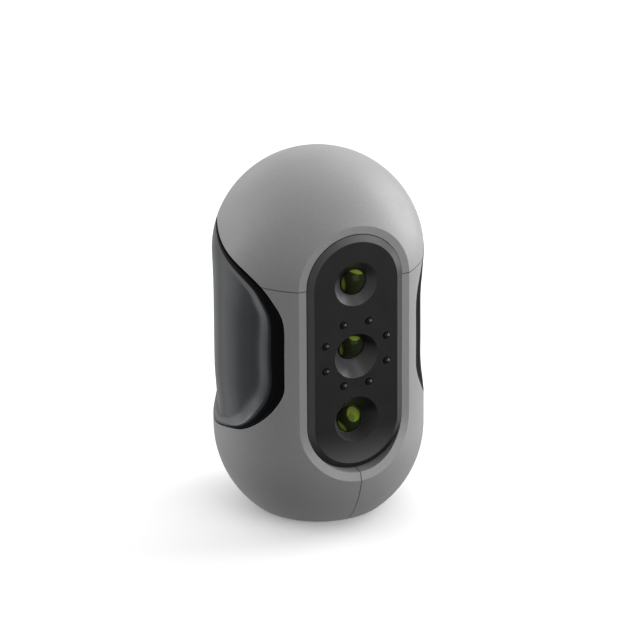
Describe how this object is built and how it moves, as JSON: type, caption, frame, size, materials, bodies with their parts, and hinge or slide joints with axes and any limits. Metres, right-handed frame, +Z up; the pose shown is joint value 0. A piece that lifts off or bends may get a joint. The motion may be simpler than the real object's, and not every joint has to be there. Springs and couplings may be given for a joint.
{
  "type": "handheld 3d scanner",
  "caption": "Palm-sized capsule-shaped 3D scanner: grey plastic casing with scooped side grips, upright optical window in front, and push buttons on the back.",
  "frame": {"origin": "mouth of the tripod thread, in the plane of the foot ring that the scanner stands on", "axes": "+Z up through the dome, -Y out of the optical window (front), +X to the right seen from the back"},
  "size_m": [0.07, 0.0692, 0.1232],
  "materials": {
    "casing": "fine-grained moulded plastic, matt",
    "grip": "smooth dark plastic, semi-gloss",
    "window": "black satin moulding",
    "panel": "black satin moulding",
    "button": "satin key cap",
    "light_guide": "frosted translucent ring",
    "rubber": "matt rubber",
    "aluminium": "machined",
    "brass": "turned",
    "steel": "plated",
    "led": "smoked clear dome",
    "lens": "coated optical glass",
    "slide_glass": "clear",
    "black_metal": "black anodised",
    "black_plastic": "matt",
    "circuit_board": "solder mask",
    "chip": "moulded package",
    "flex": "polyimide film"
  },
  "bodies": {
    "housing": {"base_plate": "aluminium", "base_screws": "steel", "board_parts": "chip", "board_screws": "steel", "board_standoffs": "brass", "button_board": "circuit_board", "button_flex": "flex", "camera_screws": "steel", "control_panel": "panel", "foot_ring": "rubber", "led_ring_board": "circuit_board", "left_grip": "grip", "left_shell": "casing", "lower_camera_barrel": "black_metal", "lower_camera_board": "circuit_board", "lower_camera_flex": "flex", "lower_camera_holder": "black_plastic", "lower_camera_lens": "lens", "lower_camera_sensor": "chip", "main_board": "circuit_board", "marker_leds": "led", "memory_chips": "chip", "optical_frame": "aluminium", "panel_screws": "steel", "pattern_slide": "slide_glass", "processor_chip": "chip", "projector_barrel": "black_metal", "projector_heatsink": "black_metal", "projector_housing": "aluminium", "projector_led": "circuit_board", "projector_lens": "lens", "projector_screws": "steel", "right_grip": "grip", "right_shell": "casing", "shell_screws": "steel", "status_ring": "light_guide", "tact_switches": "steel", "top_cap": "casing", "tripod_insert": "brass", "upper_camera_barrel": "black_metal", "upper_camera_board": "circuit_board", "upper_camera_flex": "flex", "upper_camera_holder": "black_plastic", "upper_camera_lens": "lens", "upper_camera_sensor": "chip", "usb_board": "circuit_board", "usb_connector": "steel", "usb_flex": "flex", "usb_screws": "steel", "window_gasket": "rubber", "window_plate": "window", "window_screws": "steel"},
    "scan_key": {"scan_button": "button", "scan_plunger": "black_plastic"},
    "plus_key": {"plus_button": "button", "plus_plunger": "black_plastic"},
    "minus_key": {"minus_button": "button", "minus_plunger": "black_plastic"}
  },
  "joints": [
    {"name": "scan_press", "type": "slide", "parent": "housing", "child": "scan_key", "axis": [0, -1, 0], "range_m": [0, 0.0005], "stiffness_N_per_m": 1500},
    {"name": "plus_press", "type": "slide", "parent": "housing", "child": "plus_key", "axis": [0, -1, 0], "range_m": [0, 0.0004], "stiffness_N_per_m": 1500},
    {"name": "minus_press", "type": "slide", "parent": "housing", "child": "minus_key", "axis": [0, -1, 0], "range_m": [0, 0.0004], "stiffness_N_per_m": 1500}
  ]
}
